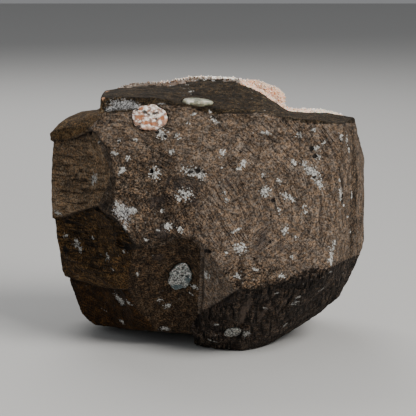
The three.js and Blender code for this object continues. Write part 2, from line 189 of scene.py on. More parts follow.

# Facets of the front by their outline in the picture. Tint is the rock's colour there, darkened with
# painted shade on the facets that face down: the left hollow, the left foot and the undercut. Lean is how
# far the rake marks lean from level in degrees, clockwise, and cut is how deeply they are scored.
FACETS = {
    "top band": {
        "outline": [
            (96, 60), (375, 60), (375, 121), (345, 123), (320, 124), (290, 121), (273, 115),
            (255, 113), (226, 113), (215, 115), (183, 106), (150, 104), (130, 112), (96, 113),
        ],
        "tint": (0.016, 0.011, 0.0058), "lean": 4, "cut": 0.45,
    },
    "right end of the top band": {
        "outline": [
            (262, 60), (375, 60), (375, 121), (345, 123), (320, 124), (290, 121), (273, 115),
            (262, 114),
        ],
        "tint": (0.0215, 0.0155, 0.0092), "lean": 4, "cut": 0.45,
    },
    "left shoulder": {
        "outline": [
            (35, 95), (96, 95), (104, 112), (88, 130), (75, 137), (58, 141), (48, 135), (35, 135),
        ],
        "tint": (0.064, 0.04, 0.0184), "lean": 2, "cut": 0.3,
    },
    "left scallop": {
        "outline": [
            (35, 135), (48, 135), (58, 141), (75, 137), (88, 130), (97, 142), (105, 158), (110, 170),
            (110, 180), (103, 195), (97, 205), (80, 212), (67, 219), (52, 215), (35, 214),
        ],
        "tint": (0.14, 0.097, 0.06), "lean": 6, "cut": 1.3,
    },
    "left hollow": {
        "outline": [
            (35, 214), (52, 215), (67, 219), (80, 212), (98, 205), (112, 222), (126, 235), (133, 248),
            (129, 270), (128, 290), (110, 289), (90, 285), (75, 280), (60, 275), (35, 270),
        ],
        "tint": (0.0355, 0.02, 0.0074), "lean": 8, "cut": 1.4,
    },
    "left foot": {
        "outline": [
            (35, 270), (60, 275), (75, 280), (90, 285), (110, 289), (128, 290), (135, 308),
            (150, 322), (160, 345), (100, 350), (50, 330),
        ],
        "tint": (0.0165, 0.0078, 0.0022), "lean": 32, "cut": 0.6,
    },
    "lower left": {
        "outline": [
            (133, 248), (157, 248), (180, 238), (192, 240), (200, 250), (199, 285), (197, 325),
            (192, 345), (160, 345), (150, 322), (135, 308), (128, 290), (129, 270),
        ],
        "tint": (0.028, 0.018, 0.0102), "lean": 80, "cut": 0.5,
    },
    "lower middle": {
        "outline": [
            (200, 250), (215, 262), (232, 285), (238, 290), (222, 300), (200, 313), (193, 325),
            (197, 325), (199, 285),
        ],
        "tint": (0.093, 0.0715, 0.054), "lean": 88, "cut": 0.6,
    },
    "undercut": {
        "outline": [
            (190, 327), (200, 313), (222, 300), (238, 290), (262, 290), (268, 284), (290, 277),
            (310, 268), (330, 267), (350, 258), (375, 248), (375, 300), (300, 365), (185, 365),
        ],
        "tint": (0.0205, 0.015, 0.0111), "lean": 91, "cut": 2.4,
    },
}
MAIN_TINT = (0.0875, 0.0655, 0.0480)
MAIN_CUT = 0.9
# How the rake marks lean at places on the main face: across, down and degrees clockwise from level. Each
# lean holds for about this many pixels before the others pull on it.
MAIN_LEAN_REACH = 5
MAIN_LEANS = [
    (120, 125, 4), (180, 128, 12), (250, 130, 30), (315, 135, 55), (120, 165, 22), (170, 170, 35),
    (130, 212, 52), (168, 218, 64), (212, 222, 60), (245, 205, 74), (230, 170, 50), (300, 195, 82),
    (342, 190, 88), (345, 240, 94), (292, 258, 138), (248, 272, 148), (212, 252, 58), (100, 145, 8),
]
# The rock was dressed blow by blow, and each blow left its own patch of parallel marks.
# Sway and ripple make the patches' edges wander.
BLOWS = {
    "apart": 11 * MM, "turn weight": 14 * MM, "fade": 5 * MM, "jitter": 7.0, "tries": 6000, "seed": 21,
    "sway": 2.5 * MM, "sway length": 4.3 * MM, "ripple": 1.2 * MM, "ripple length": 1.9 * MM,
    "edge depth": 0.35, "weakest": 0.5, "strongest": 1.25,
}
# How deep the rake marks are, and how dark the rock is, on the sides that the picture doesn't show.
UNSEEN_CUT = 0.6
UNSEEN_TINT = 0.78
# Rock turned further from the camera than this, as a cosine, takes the plain finish of the other sides.
FRONT_REACH = -0.25

# The rock's other colours, as shares of red, green and blue. The stain colour also paints the shadow under
# the left shoulder, and the groove and socket colours paint shade into creases, cracks and pits.
BASALT = {
    "warm grain": (1.10, 0.98, 0.86), "cool grain": (0.92, 1.0, 1.10),
    "stain": (0.0224, 0.0192, 0.0192), "speck": (0.24, 0.232, 0.216),
    "dark druse": (0.072, 0.072, 0.072), "light druse": (0.416, 0.416, 0.416),
    "dark fill": (0.176, 0.176, 0.168), "light fill": (0.528, 0.52, 0.488),
    "crumb": (0.024, 0.0192, 0.016), "groove": (0.0128, 0.0104, 0.0088), "worn": (0.092, 0.068, 0.0544),
    "rosy": (0.50, 0.27, 0.16), "socket": (0.0096, 0.008, 0.0072),
}

# A coffin-shaped heulandite plate: its corners, across and up, and the height at which it is widest.
COFFIN_OUTLINE = [
    (-0.24, -0.12), (0.24, -0.12), (0.5, 0.42), (0.26, 0.95), (-0.26, 0.95), (-0.5, 0.42),
]
COFFIN_WIDEST = 0.42
# The crystals of the hollow's wall and of the rim. Thickness is a share of a crystal's length, and tilt is
# the most that it leans, in radians.
WALL_CRYSTALS = {
    "Per square metre": 225000.0, "Least": 1.6 * MM, "Most": 4.2 * MM, "Thickness": 0.34, "Tilt": 0.9,
}
RIM_CRYSTALS = {
    "Per square metre": 610000.0, "Least": 0.4 * MM, "Most": 0.95 * MM, "Thickness": 0.6, "Tilt": 1.2,
}
# The crust is bare where it stands this far off the rock or comes this near to the joint. Its wall is at
# most this thick, and faces the way that the rock under it does.
BARE_GAP = 0.6 * MM
BARE_MARGIN = 0.5 * MM
WALL_THICKEST = 5.4 * MM
WALL_FACING = 0.6
# How far the rim reaches below the joint. The lip lies lower at the right, so it reaches further there.
RIM_DEPTH = 6.0 * MM
LOW_LIP = {"right of": 32 * MM, "above": 97 * MM, "depth": 15 * MM}
# The heap of small crystals on the lip, its warmest part, and the warm end of the rim, as they are outlined
# in the picture. Nothing below HEAP_FOOT belongs to the heap.
LIP_HEAP = [(240, 74), (262, 78), (292, 92), (292, 112), (272, 100), (252, 92), (240, 86)]
HEAP_FOOT = 105 * MM
WARM_HEAP = [(251, 79), (264, 81), (264, 92), (251, 91)]
WARM_RIM_END = [(98, 84), (112, 84), (112, 100), (98, 100)]
# Dust and rock crumbs dull the outer slope of the rim left of the heap, and all of its left end above
# DUST_FOOT. The slope is clean behind the first of these places and dusty before the second. The dust ends
# between the next two, from right to left, and sets in between the last two, going up.
OUTER_SLOPE = {
    "clean": 2.6 * MM, "dusty": 1.0 * MM, "right end": 17 * MM, "fades from": 14 * MM,
    "foot": 112 * MM, "top": 116 * MM,
}
DUSTY_RIM = [(100, 70), (153, 70), (157, 81), (153, 94), (100, 94)]
DUST_FOOT = 115 * MM
HEULANDITE = {
    "blush": (0.97, 0.56, 0.37), "cream": (0.96, 0.78, 0.64), "white": (0.97, 0.89, 0.80),
    "rust": (0.78, 0.40, 0.20), "dust": (0.070, 0.052, 0.037),
}

# Each nodule's own finish. Patches, cracks and rims are spots of the picture, as for the rock's fills.
NODULES = {
    "pink_nodule": {
        "name": "pink_zeolite_nodule", "slot": "pink_zeolite",
        "blades": 0.34 * MM, "ragged": 0.05, "cells": 520, "gloss": 0.42,
        "light": (0.78, 0.71, 0.65), "shade": (0.24, 0.135, 0.09),
        "patch": (0.3, 0.105, 0.036), "crack": (0.028, 0.0208, 0.016), "rim": (0.4, 0.216, 0.136),
        "patches": [
            (140, 117, 12, 7, 8), (146, 123, 12, 5, 0), (153, 124, 9, 5, 0), (141, 109, 8, 4, -25),
            (162, 118, 8, 5, -20),
        ],
        "cracks": [
            (146, 113, 13, 4, 33), (155, 113, 10, 3.5, -18), (139, 126, 5, 4, 0),
            (137, 110, 5, 4, -20), (140, 123, 4, 2, 20), (156, 119, 3, 3, 0),
        ],
        "rims": [(148, 129, 22, 6, 3), (140, 107, 12, 5, -30), (165, 121, 8, 8, -40)],
    },
    "green_nodule": {
        "name": "green_zeolite_lens", "slot": "green_zeolite",
        "blades": 0.06 * MM, "ragged": 0.03, "cells": 260, "gloss": 0.34,
        "light": (0.33, 0.31, 0.205), "shade": (0.12, 0.125, 0.08),
        "patch": (0.56, 0.544, 0.464), "crack": (0.192, 0.176, 0.128), "rim": (0.272, 0.272, 0.2),
        "patches": [(190, 102, 10, 3, 8), (206, 102, 7, 3, 0)],
        "cracks": [(200, 105, 12, 2, 0)],
        "rims": [(184, 102, 6, 6, 0), (211, 103, 6, 6, 0)],
    },
    "white_nodule": {
        "name": "white_zeolite_nodule", "slot": "white_zeolite",
        "blades": 0.22 * MM, "ragged": 0.06, "cells": 1050, "gloss": 0.55,
        "light": (0.44, 0.44, 0.408), "shade": (0.048, 0.0504, 0.048),
        "patch": (0.04, 0.04, 0.04), "crack": (0.0096, 0.0096, 0.0096), "rim": (0.024, 0.0528, 0.0608),
        "patches": [(178, 272, 4, 4, 0), (175, 280, 5, 3, 0), (181, 284, 4, 3, 0)],
        "cracks": [
            (183, 268, 3, 4, 0), (182, 275, 5, 3, 0), (187, 276, 4, 4, 0), (177, 264, 5, 3, 0),
        ],
        "rims": [(177, 287, 24, 9, 0), (188, 279, 8, 14, 20), (169, 283, 5, 10, 30)],
    },
    "pale_nodule": {
        "name": "pale_zeolite_nodule", "slot": "pale_zeolite",
        "blades": 0.18 * MM, "ragged": 0.07, "cells": 900, "gloss": 0.55,
        "light": (0.344, 0.336, 0.304), "shade": (0.036, 0.036, 0.032),
        "patch": (0.056, 0.056, 0.048), "crack": (0.016, 0.016, 0.016), "rim": (0.056, 0.072, 0.076),
        "patches": [(232, 334, 3, 3, 0)],
        "cracks": [(239, 333, 4, 5, 0)],
        "rims": [(231, 338, 10, 4, 0)],
    },
}

# The studio: each lamp's direction from the point aimed at, distance and side in metres, power and colour.
LAMPS = {
    "key light": ((0.55, -0.62, 0.66), 1.2, 0.45, 20, (1.0, 0.97, 0.93)),
    "fill light": ((-0.8, -0.9, 0.5), 1.5, 0.9, 3.75, (0.95, 0.98, 1.0)),
    "back light": ((-0.25, 0.75, 0.75), 1.3, 0.8, 10.0, (1.0, 0.98, 0.96)),
}
FLOOR_COLOUR = (0.48, 0.48, 0.472, 1)
AIR_COLOUR = (0.75, 0.76, 0.78, 1)
AIR_STRENGTH = 0.31


# Shared ways of building meshes and node trees


def feed(tree, socket, value):
    if isinstance(value, bpy.types.NodeSocket):
        tree.links.new(value, socket)
    else:
        socket.default_value = value


def add(tree, kind, inputs=None, **settings):
    node = tree.nodes.new(kind)
    for name, value in settings.items():
        setattr(node, name, value)
    for name, value in (inputs or {}).items():
        feed(tree, node.inputs[name], value)
    return node


def maths(tree, operation, first, second=0.0):
    return add(tree, "ShaderNodeMath", {0: first, 1: second}, operation=operation).outputs[0]


def times(tree, first, second):
    return maths(tree, "MULTIPLY", first, second)


def plus(tree, first, second):
    return maths(tree, "ADD", first, second)


def ramp(tree, value, low, high, low_gives=0.0, high_gives=1.0):
    ends = {"Value": value, "From Min": low, "From Max": high, "To Min": low_gives, "To Max": high_gives}
    return add(tree, "ShaderNodeMapRange", ends, interpolation_type="SMOOTHSTEP").outputs["Result"]


def noise(tree, place, scale, detail=3.0, roughness=0.55):
    how = {"Vector": place, "Scale": scale, "Detail": detail, "Roughness": roughness}
    return add(tree, "ShaderNodeTexNoise", how).outputs[0]


def wavering(tree, place, scale, detail=3.0, roughness=0.55):
    """The same noise, about zero."""
    return maths(tree, "SUBTRACT", noise(tree, place, scale, detail, roughness), 0.5)


def cells(tree, place, scale):
    return add(tree, "ShaderNodeTexVoronoi", {"Vector": place, "Scale": scale}).outputs["Distance"]


def blend(tree, share, first, second, kind="MIX"):
    node = add(tree, "ShaderNodeMix", {0: share}, data_type="RGBA", blend_type=kind)
    for socket, colour in ((6, first), (7, second)):
        is_link = isinstance(colour, bpy.types.NodeSocket)
        feed(tree, node.inputs[socket], colour if is_link else (*colour, 1))
    return node.outputs[2]


def stretched(tree, place, stretch):
    return add(tree, "ShaderNodeVectorMath", {0: place, 1: stretch}, operation="MULTIPLY").outputs[0]


def parts_of(tree, vector):
    return add(tree, "ShaderNodeSeparateXYZ", {0: vector}).outputs


def read(tree, name, output="Fac"):
    return add(tree, "ShaderNodeAttribute", attribute_name=name).outputs[output]


def torn_mark(tree, mark, tear, amount, low, high):
    """How strongly a mark of the surface shows, with its edge torn by a noise."""
    return ramp(tree, plus(tree, read(tree, mark), times(tree, tear, amount)), low, high)


def coated(tree, colour, share, strength, coat):
    return blend(tree, times(tree, share, strength), colour, coat)


def bumped(tree, height, distance, strength):
    how = {"Strength": strength, "Distance": distance, "Height": height}
    return add(tree, "ShaderNodeBump", how).outputs[0]


def new_finish(name):
    finish = bpy.data.materials.new(name)
    finish.use_nodes = True
    tree = finish.node_tree
    place = add(tree, "ShaderNodeTexCoord").outputs["Object"]
    return finish, tree, place, tree.nodes["Principled BSDF"]


def set_looks(tree, surface, looks):
    for name, value in looks.items():
        feed(tree, surface.inputs[name], value)


def new_maker(name, sizes):
    tree = bpy.data.node_groups.new(name, "GeometryNodeTree")
    tree.interface.new_socket("Geometry", in_out="INPUT", socket_type="NodeSocketGeometry")
    tree.interface.new_socket("Geometry", in_out="OUTPUT", socket_type="NodeSocketGeometry")
    for size in sizes:
        tree.interface.new_socket(size, in_out="INPUT", socket_type="NodeSocketFloat")
    return tree, add(tree, "NodeGroupInput").outputs


def end_maker(tree, geometry, finish):
    whole = add(tree, "GeometryNodeRealizeInstances", {"Geometry": geometry}).outputs[0]
    dressed = add(tree, "GeometryNodeSetMaterial", {"Geometry": whole, "Material": finish}).outputs[0]
    add(tree, "NodeGroupOutput", {"Geometry": dressed})


def settle(piece):
    """Turns what the piece's modifiers make into its plain mesh."""
    seen = piece.evaluated_get(bpy.context.evaluated_depsgraph_get())
    made = bpy.data.meshes.new_from_object(seen)
    made.name = piece.name
    piece.modifiers.clear()
    piece.data = made


def run_maker(piece, tree, sizes):
    change = piece.modifiers.new(tree.name, "NODES")
    change.node_group = tree
    for socket in tree.interface.items_tree:
        if socket.in_out == "INPUT" and socket.name in sizes:
            change[socket.identifier] = sizes[socket.name]
    settle(piece)


def named(tree, name, kind="FLOAT"):
    return add(tree, "GeometryNodeInputNamedAttribute", {"Name": name}, data_type=kind).outputs[0]


def new_piece(name, mesh):
    piece = bpy.data.objects.new(name, mesh)
    bpy.context.scene.collection.objects.link(piece)
    return piece


def merged_copy(node, name):
    mesh = bpy.data.meshes.new(name)
    shape = bmesh.new()
    shape.from_mesh(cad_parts[node].data)
    bmesh.ops.remove_doubles(shape, verts=shape.verts, dist=0.01 * MM)
    shape.to_mesh(mesh)
    shape.free()
    return new_piece(name, mesh)


def surface_of(node):
    """The solid's surface, for finding where a line meets it or which place on it is nearest."""
    shape = bmesh.new()
    shape.from_mesh(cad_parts[node].data)
    surface = BVHTree.FromBMesh(shape)
    shape.free()
    return surface


def remeshed(piece, grid):
    change = piece.modifiers.new("Even mesh", "REMESH")
    change.mode = "VOXEL"
    change.voxel_size = grid
    settle(piece)


def vectors_of(items, field):
    flat = np.empty(len(items) * 3, np.float32)
    items.foreach_get(field, flat)
    return flat.reshape(-1, 3).astype(float)


def points_of(mesh):
    return vectors_of(mesh.vertices, "co")


def normals_of(mesh):
    return vectors_of(mesh.vertex_normals, "vector")


def keep(mesh, name, values):
    values = np.asarray(values, np.float32)
    kinds = {1: ("FLOAT", "value"), 3: ("FLOAT_VECTOR", "vector"), 4: ("FLOAT_COLOR", "color")}
    kind, field = kinds[1 if values.ndim == 1 else values.shape[1]]
    mesh.attributes.new(name, kind, "POINT").data.foreach_set(field, values.ravel())


def picture_places(points):
    away = points - np.array(EYE)
    depth = away @ np.array(FORWARD)
    pixels = CAMERA_DISTANCE / PIXEL_AT_AIM
    across = PICTURE_SIDE / 2 + away[:, 0] / depth * pixels
    down = PICTURE_SIDE / 2 - (away @ np.array(UPWARD)) / depth * pixels
    return across, down


def picture_line(degrees):
    """A line in the picture's plane, turned clockwise from level."""
    turn = math.radians(degrees)
    return RIGHTWARD * math.cos(turn) - UPWARD * math.sin(turn)


def inside(outline, across, down):
    """Which of the picture places lie inside an outline."""
    found = np.zeros(len(across), bool)
    for (x0, y0), (x1, y1) in zip(outline, outline[1:] + outline[:1]):
        if y0 == y1:
            continue
        crosses = (down < y0) != (down < y1)
        found ^= crosses & (across < x0 + (down - y0) * (x1 - x0) / (y1 - y0))
    return found


def lying_spot(surface, spot):
    """Where a picture spot lies on the rock, and its three axes, each as long as one over its reach."""
    across, down, width, height, tilt = spot
    pixel = PIXEL_AT_AIM / CAMERA_DISTANCE
    sight = FORWARD + RIGHTWARD * (across - PICTURE_SIDE / 2) * pixel
    sight = (sight - UPWARD * (down - PICTURE_SIDE / 2) * pixel).normalized()
    middle, outward, face, distance = surface.ray_cast(EYE, sight)
    if middle is None:
        return None, None
    along = picture_line(tilt)
    along = (along - FORWARD * (along.dot(outward) / FORWARD.dot(outward))).normalized()
    aside = outward.cross(along)
    half = distance * pixel / 2
    reach = max(width, height) * half
    return middle, along / (width * half), aside / (height * half), outward / reach


def depth_in_spots(spots, points, surface):
    """1 at the middle of a spot, 0 on its edge, and below 0 outside."""
    depth = np.full(len(points), -1.0)
    for spot in spots:
        middle, *axes = lying_spot(surface, spot)
        if middle is None:
            continue
        away = (points - np.array(middle)) @ np.array(axes).T
        depth = np.maximum(depth, 1 - np.linalg.norm(away, axis=1))
    return depth


def depth_in_grooves(across, down, front):
    """1 along the middle line of a groove, 0 on its edge, and below 0 outside."""
    depth = np.full(len(across), -1.0)
    places = np.stack([across, down], 1)
    for path, width in GROOVES:
        for start, end in zip(path, path[1:]):
            leg = np.subtract(end, start)
            share = np.clip((places - start) @ leg / (leg @ leg), 0, 1)
            gap = np.linalg.norm(places - start - share[:, None] * leg, axis=1)
            depth = np.maximum(depth, 1 - gap / (width / 2))
    return np.where(front, depth, -1.0)


def ledge_steps(across, down, front):
    """How far each point steps out above a ledge or in below it, and how shaded it lies."""
    step = np.zeros(len(across))
    shade = np.zeros(len(across))
    for line, drop, darkness in LEDGES:
        places, heights = np.array(line, float).T
        below = down - np.interp(across, places, heights)
        left = np.clip((across - places[0]) / LEDGE_REACH["ends"], 0, 1)
        right = np.clip((places[-1] - across) / LEDGE_REACH["ends"], 0, 1)
        ends = left * right
        low = np.where(below > 0, np.exp(-np.abs(below) / LEDGE_REACH["below"]), 0)
        high = np.where(below <= 0, np.exp(-np.abs(below) / LEDGE_REACH["above"]), 0)
        step += front * ends * drop * (LEDGE_LIP * high - low)
        shadow = (below > 0) * np.exp(-np.abs(below) / LEDGE_REACH["shade"])
        shade = np.maximum(shade, front * ends * darkness * shadow)
    return step, shade


def scattered_spots(points, allowed, spread):
    """The same depth for round spots, strewn over the allowed points by a seeded rule."""
    chance = np.random.default_rng(spread["seed"])
    depth = np.full(len(points), -1.0)
    for middle in points[chance.choice(np.flatnonzero(allowed), spread["count"])]:
        size = spread["least"] + (spread["most"] - spread["least"]) * chance.random() ** 2
        stretch = chance.uniform(0.6, 1.5, 3)
        depth = np.maximum(depth, 1 - np.linalg.norm((points - middle) * stretch, axis=1) / size)
    return depth


# The block of basalt


def rock_mesh():
    """The block, evenly meshed, with the wall behind the crust thinned out because nothing shows of it."""
    rock = merged_copy("basalt_matrix", "hewn_basalt")
    remeshed(rock, ROCK_GRID)
    crust = surface_of("heulandite_crust")
    hidden = rock.vertex_groups.new(name="hidden")
    unseen = [vertex.index for vertex in rock.data.vertices if behind_crust(crust, vertex)]
    hidden.add(unseen, 1.0, "REPLACE")
    thin = rock.modifiers.new("Thin hidden wall", "DECIMATE")
    thin.vertex_group = "hidden"
    thin.ratio = 1 - len(unseen) / len(rock.data.vertices) * (1 - HIDDEN_WALL_KEPT)
    settle(rock)
    return rock


def behind_crust(crust, vertex):
    place, facing, face, gap = crust.find_nearest(vertex.co, HIDDEN_WALL_GAP)
    return place is not None and facing.dot(vertex.normal) < HIDDEN_WALL_FACING


def main_lean(across, down):
    """The lean of the rake marks at a place on the main face, drawn from the measured ones around it."""
    turns = np.zeros(2)
    for near_across, near_down, lean in MAIN_LEANS:
        gap = (across - near_across) ** 2 + (down - near_down) ** 2
        pull = 1 / (MAIN_LEAN_REACH ** 2 + gap) ** 1.5
        turn = math.radians(2 * lean)
        turns += pull * np.array((math.cos(turn), math.sin(turn)))
    return math.degrees(math.atan2(turns[1], turns[0])) / 2


def spaced_choice(points, apart, chance):
    """Points of the surface in a seeded order, none nearer to another than asked."""
    chosen = []
    for index in chance.permutation(len(points))[:BLOWS["tries"]]:
        if not chosen or np.min(np.linalg.norm(points[chosen] - points[index], axis=1)) > apart:
            chosen.append(index)
    return chosen


def facet_values(across, down, front):
    """Each point's tint, lean and depth of rake marks, by the facet that it lies on."""
    tint = np.tile((*MAIN_TINT, 1.0), (len(across), 1))
    lean = np.full(len(across), np.nan)
    cut = np.where(front, MAIN_CUT, UNSEEN_CUT)
    tint[~front, :3] *= UNSEEN_TINT
    for facet in FACETS.values():
        here = front & inside(facet["outline"], across, down)
        # Facets that face down take tints darkened with painted shade.
        tint[here] = (*facet["tint"], 1.0)
        lean[here] = facet["lean"]
        cut[here] = facet["cut"]
    return tint, lean, cut


def blow_marks(points, normals, across, down, front, leans, cuts):
    """For each point, how far across and along its blow's rake marks it lies, and how deep they are."""
    chance = np.random.default_rng(BLOWS["seed"])
    drift = BLOWS["sway"] * np.sin(points[:, [1, 2, 0]] / BLOWS["sway length"])
    drift += BLOWS["ripple"] * np.sin(points[:, [2, 0, 1]] / BLOWS["ripple length"])
    feel = np.hstack([points + drift, normals * BLOWS["turn weight"]])
    chosen = spaced_choice(points, BLOWS["apart"], chance)
    middles = feel[chosen]
    gaps = (feel ** 2).sum(1)[:, None] + (middles ** 2).sum(1)[None] - 2 * feel @ middles.T
    gaps = np.sqrt(np.maximum(gaps, 0))
    nearest = np.argmin(gaps, axis=1)
    closest, second = np.partition(gaps, 1, axis=1)[:, :2].T
    along = np.empty((len(chosen), 3))
    for row, index in enumerate(chosen):
        lean = chance.uniform(0, 180)
        if front[index]:
            lean = leans[index]
            if np.isnan(lean):
                lean = main_lean(across[index], down[index])
            lean += chance.normal(0, BLOWS["jitter"])
        line = np.array(picture_line(lean))
        away = np.array(FORWARD) if front[index] else normals[index]
        line -= away * (line @ normals[index]) / (away @ normals[index])
        along[row] = line / np.linalg.norm(line)
    aside = np.cross(normals[chosen], along)
    away = points - points[chosen][nearest]
    shift = chance.uniform(0, 1, (len(chosen), 2))[nearest]
    across_marks = (away * aside[nearest]).sum(1) + shift[:, 0]
    along_marks = (away * along[nearest]).sum(1) + shift[:, 1]
    fade = np.clip((second - closest) / BLOWS["fade"], 0, 1)
    force = chance.uniform(BLOWS["weakest"], BLOWS["strongest"], len(chosen))[nearest]
    depth = cuts * (BLOWS["edge depth"] + (1 - BLOWS["edge depth"]) * fade) * force
    return np.stack([across_marks, along_marks, depth], 1)


def mark_rock(mesh):
    points = points_of(mesh)
    normals = normals_of(mesh)
    across, down = picture_places(points)
    sight = np.array(EYE) - points
    sight /= np.linalg.norm(sight, axis=1)[:, None]
    front = (np.sum(sight * normals, axis=1) > FRONT_REACH) & (points[:, 1] < FRONT_ENDS)
    surface = surface_of("basalt_matrix")
    tint, leans, cuts = facet_values(across, down, front)
    step, shade = ledge_steps(across, down, front)
    tint[:, :3] *= (1 - shade)[:, None]
    fill = depth_in_spots(WHITE_FILLS, points, surface)
    socket = depth_in_spots(SHADED_SOCKETS, points, surface)
    keep(mesh, "fill", np.maximum(fill, scattered_spots(points, ~front, UNSEEN_FILLS)))
    keep(mesh, "socket", np.maximum(socket, scattered_spots(points, ~front, UNSEEN_SOCKETS)))
    keep(mesh, "step", step)
    spots = {"stain": DARK_STAINS_AND_SHADOWS, "druse": DRUSE, "rosy": ROSY_EDGE, "worn": WORN_STREAKS}
    for mark, places in spots.items():
        keep(mesh, mark, depth_in_spots(places, points, surface))
    dimmed = np.clip(depth_in_spots(MAIN_FACE_DIMMING, points, surface) * 2, 0, 1)
    tint[:, :3] *= 1 - (dimmed * (cuts == MAIN_CUT))[:, None] * np.array(MAIN_FACE_DIMMING_LOSS)
    keep(mesh, "groove", depth_in_grooves(across, down, front))
    keep(mesh, "rake", blow_marks(points, normals, across, down, front, leans, cuts))
    keep(mesh, "tint", tint)


def roughness_maker(finish):
    tree, given = new_maker("Hewn roughness", ROUGHNESS)
    place = add(tree, "GeometryNodeInputPosition").outputs[0]
    outward = add(tree, "GeometryNodeInputNormal").outputs[0]
    rake = named(tree, "rake", "FLOAT_VECTOR")
    marks = parts_of(tree, rake)
    rises = {name: noise(tree, place, scale) for name, scale in BUMPS_PER_METRE.items()}
    rises["Rake"] = times(tree, noise(tree, stretched(tree, rake, CUT_MARKS), 1.0, 2.0), marks[2])
    height = 0.0
    for name, rise in rises.items():
        wave = times(tree, maths(tree, "SUBTRACT", rise, 0.5), 2.4)
        height = plus(tree, times(tree, wave, given[name]), height)
    sunk = times(tree, ramp(tree, named(tree, "socket"), -0.1, 0.7), given["Socket"])
    cut = times(tree, ramp(tree, named(tree, "groove"), -0.6, 0.8), given["Groove"])
    swollen = times(tree, ramp(tree, named(tree, "fill"), -0.2, 0.5), given["Fill"])
    height = maths(tree, "SUBTRACT", maths(tree, "SUBTRACT", height, sunk), cut)
    height = plus(tree, height, swollen)
    rise = plus(tree, times(tree, height, MM), named(tree, "step"))
    above_floor = parts_of(tree, place)[2]
    rise = maths(tree, "MINIMUM", rise, maths(tree, "MAXIMUM", above_floor, 0.0))
    shift = add(tree, "ShaderNodeVectorMath", {0: outward, "Scale": rise}, operation="SCALE").outputs[0]
    changes = {"Geometry": given["Geometry"], "Offset": shift}
    end_maker(tree, add(tree, "GeometryNodeSetPosition", changes).outputs[0], finish)
    return tree


def grained(tree, place, tint, grain, raked):
    """The rock's own colour, made lighter and darker by its grain, its clouds and its rake marks."""
    light = plus(tree, ramp(tree, grain, 0.36, 0.64, 0.42, 1.68), times(tree, raked, 0.75))
    light = times(tree, light, ramp(tree, noise(tree, place, 300), 0.35, 0.65, 0.78, 1.22))
    light = times(tree, light, ramp(tree, noise(tree, place, 45, 2.0), 0.3, 0.7, 0.9, 1.1))
    # The darker a facet, the more its grains stand out from it
    brightness = add(tree, "ShaderNodeRGBToBW", {0: tint}).outputs[0]
    contrast = ramp(tree, brightness, 0.012, 0.072, 2.3, 1.25)
    light = maths(tree, "POWER", maths(tree, "MAXIMUM", light, 0.05), contrast)
    grey = add(tree, "ShaderNodeCombineColor", {0: light, 1: light, 2: light}).outputs[0]
    colour = blend(tree, 1.0, tint, grey, "MULTIPLY")
    hue = ramp(tree, noise(tree, stretched(tree, place, (1, 1, 1.3)), 620, 2.0), 0.35, 0.65)
    cast = blend(tree, hue, BASALT["warm grain"], BASALT["cool grain"])
    return blend(tree, 1.0, colour, cast, "MULTIPLY")


def stained_and_shadowed(tree, place, colour):
    # Dark stains, and the painted shadow under the left shoulder.
    stain = torn_mark(tree, "stain", wavering(tree, place, 420, 4.0, 0.6), 2.4, -0.1, 0.8)
    return coated(tree, colour, stain, 0.55, BASALT["stain"])


def specked(tree, place, colour):
    """White specks, strewn through the rock in swarms."""
    swarm = ramp(tree, noise(tree, place, 110, 2.0), 0.55, 0.68)
    speck = times(tree, ramp(tree, cells(tree, place, 420), 0.2, 0.12), swarm)
    return coated(tree, colour, speck, 0.6, BASALT["speck"])


def frosted(tree, place, grain, colour):
    """The druse on the step and on the arris of the left hollow."""
    powder = wavering(tree, place, 1100, 4.0, 0.7)
    frost = torn_mark(tree, "druse", powder, 3.4, 0.1, 0.6)
    druse = blend(tree, ramp(tree, grain, 0.4, 0.6), BASALT["dark druse"], BASALT["light druse"])
    return coated(tree, colour, frost, 0.8, druse)


def filled(tree, place, torn, colour):
    """White fills with ragged edges, and dark crumbs all over. Also says where the fills are."""
    clump = maths(tree, "SUBTRACT", 0.42, cells(tree, place, 950))
    edge = plus(tree, times(tree, torn, 3.0), times(tree, clump, 2.2))
    fill = ramp(tree, plus(tree, times(tree, read(tree, "fill"), 1.3), edge), -0.2, 0.35)
    sugar = ramp(tree, noise(tree, place, 1500, 2.0), 0.38, 0.6)
    white = blend(tree, sugar, BASALT["dark fill"], BASALT["light fill"])
    colour = coated(tree, colour, fill, 0.88, white)
    crumb = ramp(tree, cells(tree, place, 1100), 0.22, 0.12)
    return coated(tree, colour, crumb, 0.7, BASALT["crumb"]), fill


